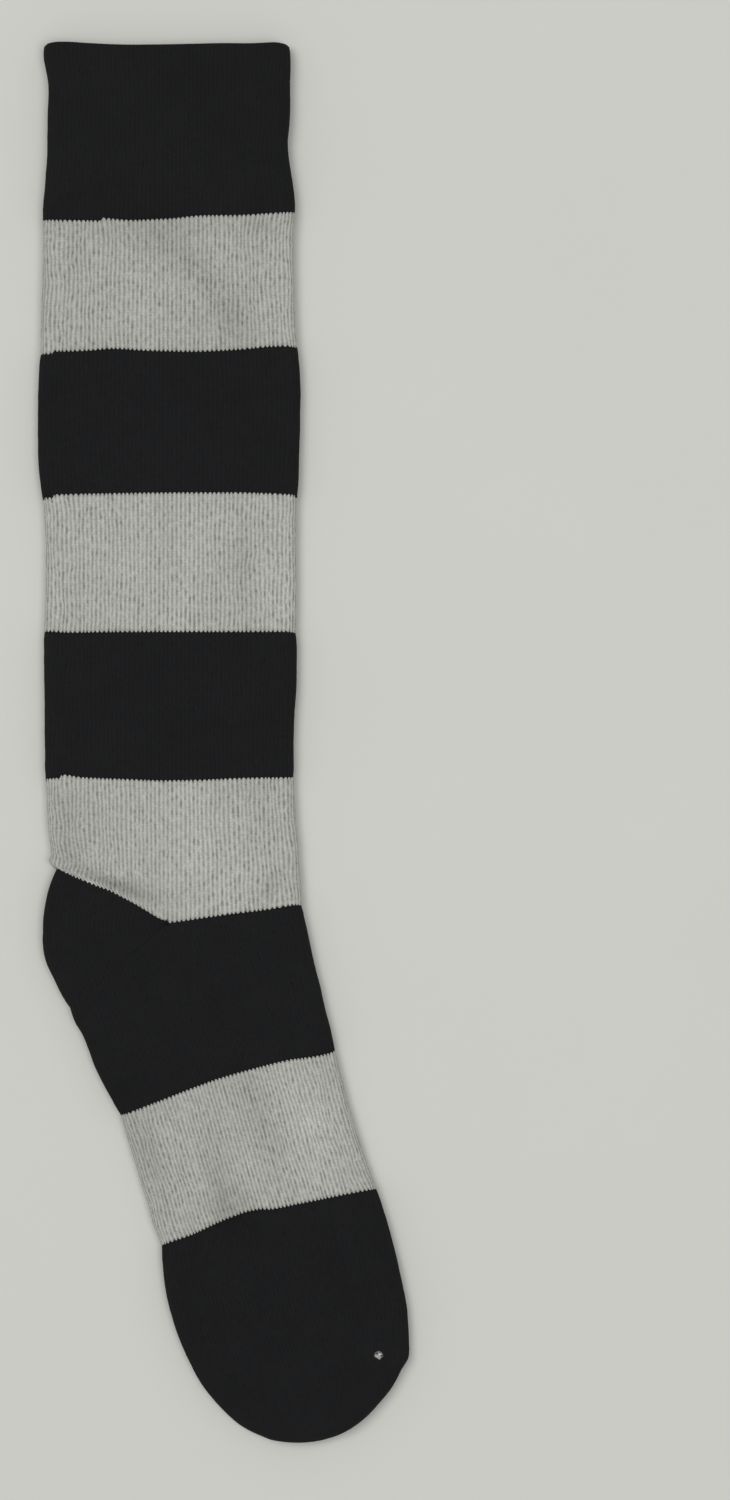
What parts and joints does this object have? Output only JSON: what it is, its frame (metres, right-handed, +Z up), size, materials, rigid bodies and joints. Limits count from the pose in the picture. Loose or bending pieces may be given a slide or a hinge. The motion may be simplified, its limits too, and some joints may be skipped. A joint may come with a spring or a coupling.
{
  "type": "knee sock",
  "caption": "Knitted knee sock with wide light and dark bands, a turned cuff, a heel pocket and a closed toe, lying flat on its side with its mouth open.",
  "frame": {"origin": "on the surface that the sock lies on, below the middle of its outline seen from above", "axes": "+Z up from the surface, +Y along the leg towards the cuff, +X from the back of the leg towards the shin"},
  "size_m": [0.1358, 0.5106, 0.0108],
  "materials": {
    "dark_yarn": "matte knitted yarn, near black",
    "light_yarn": "matte knitted yarn, light grey melange"
  },
  "bodies": {
    "root": {"cuff": "dark_yarn", "calf_stripe": "light_yarn", "calf_band": "dark_yarn", "shin_stripe": "light_yarn", "shin_band": "dark_yarn", "ankle_stripe": "light_yarn", "heel_pocket": "dark_yarn", "instep_band": "dark_yarn", "foot_stripe": "light_yarn", "toe_cap": "dark_yarn"}
  },
  "joints": []
}
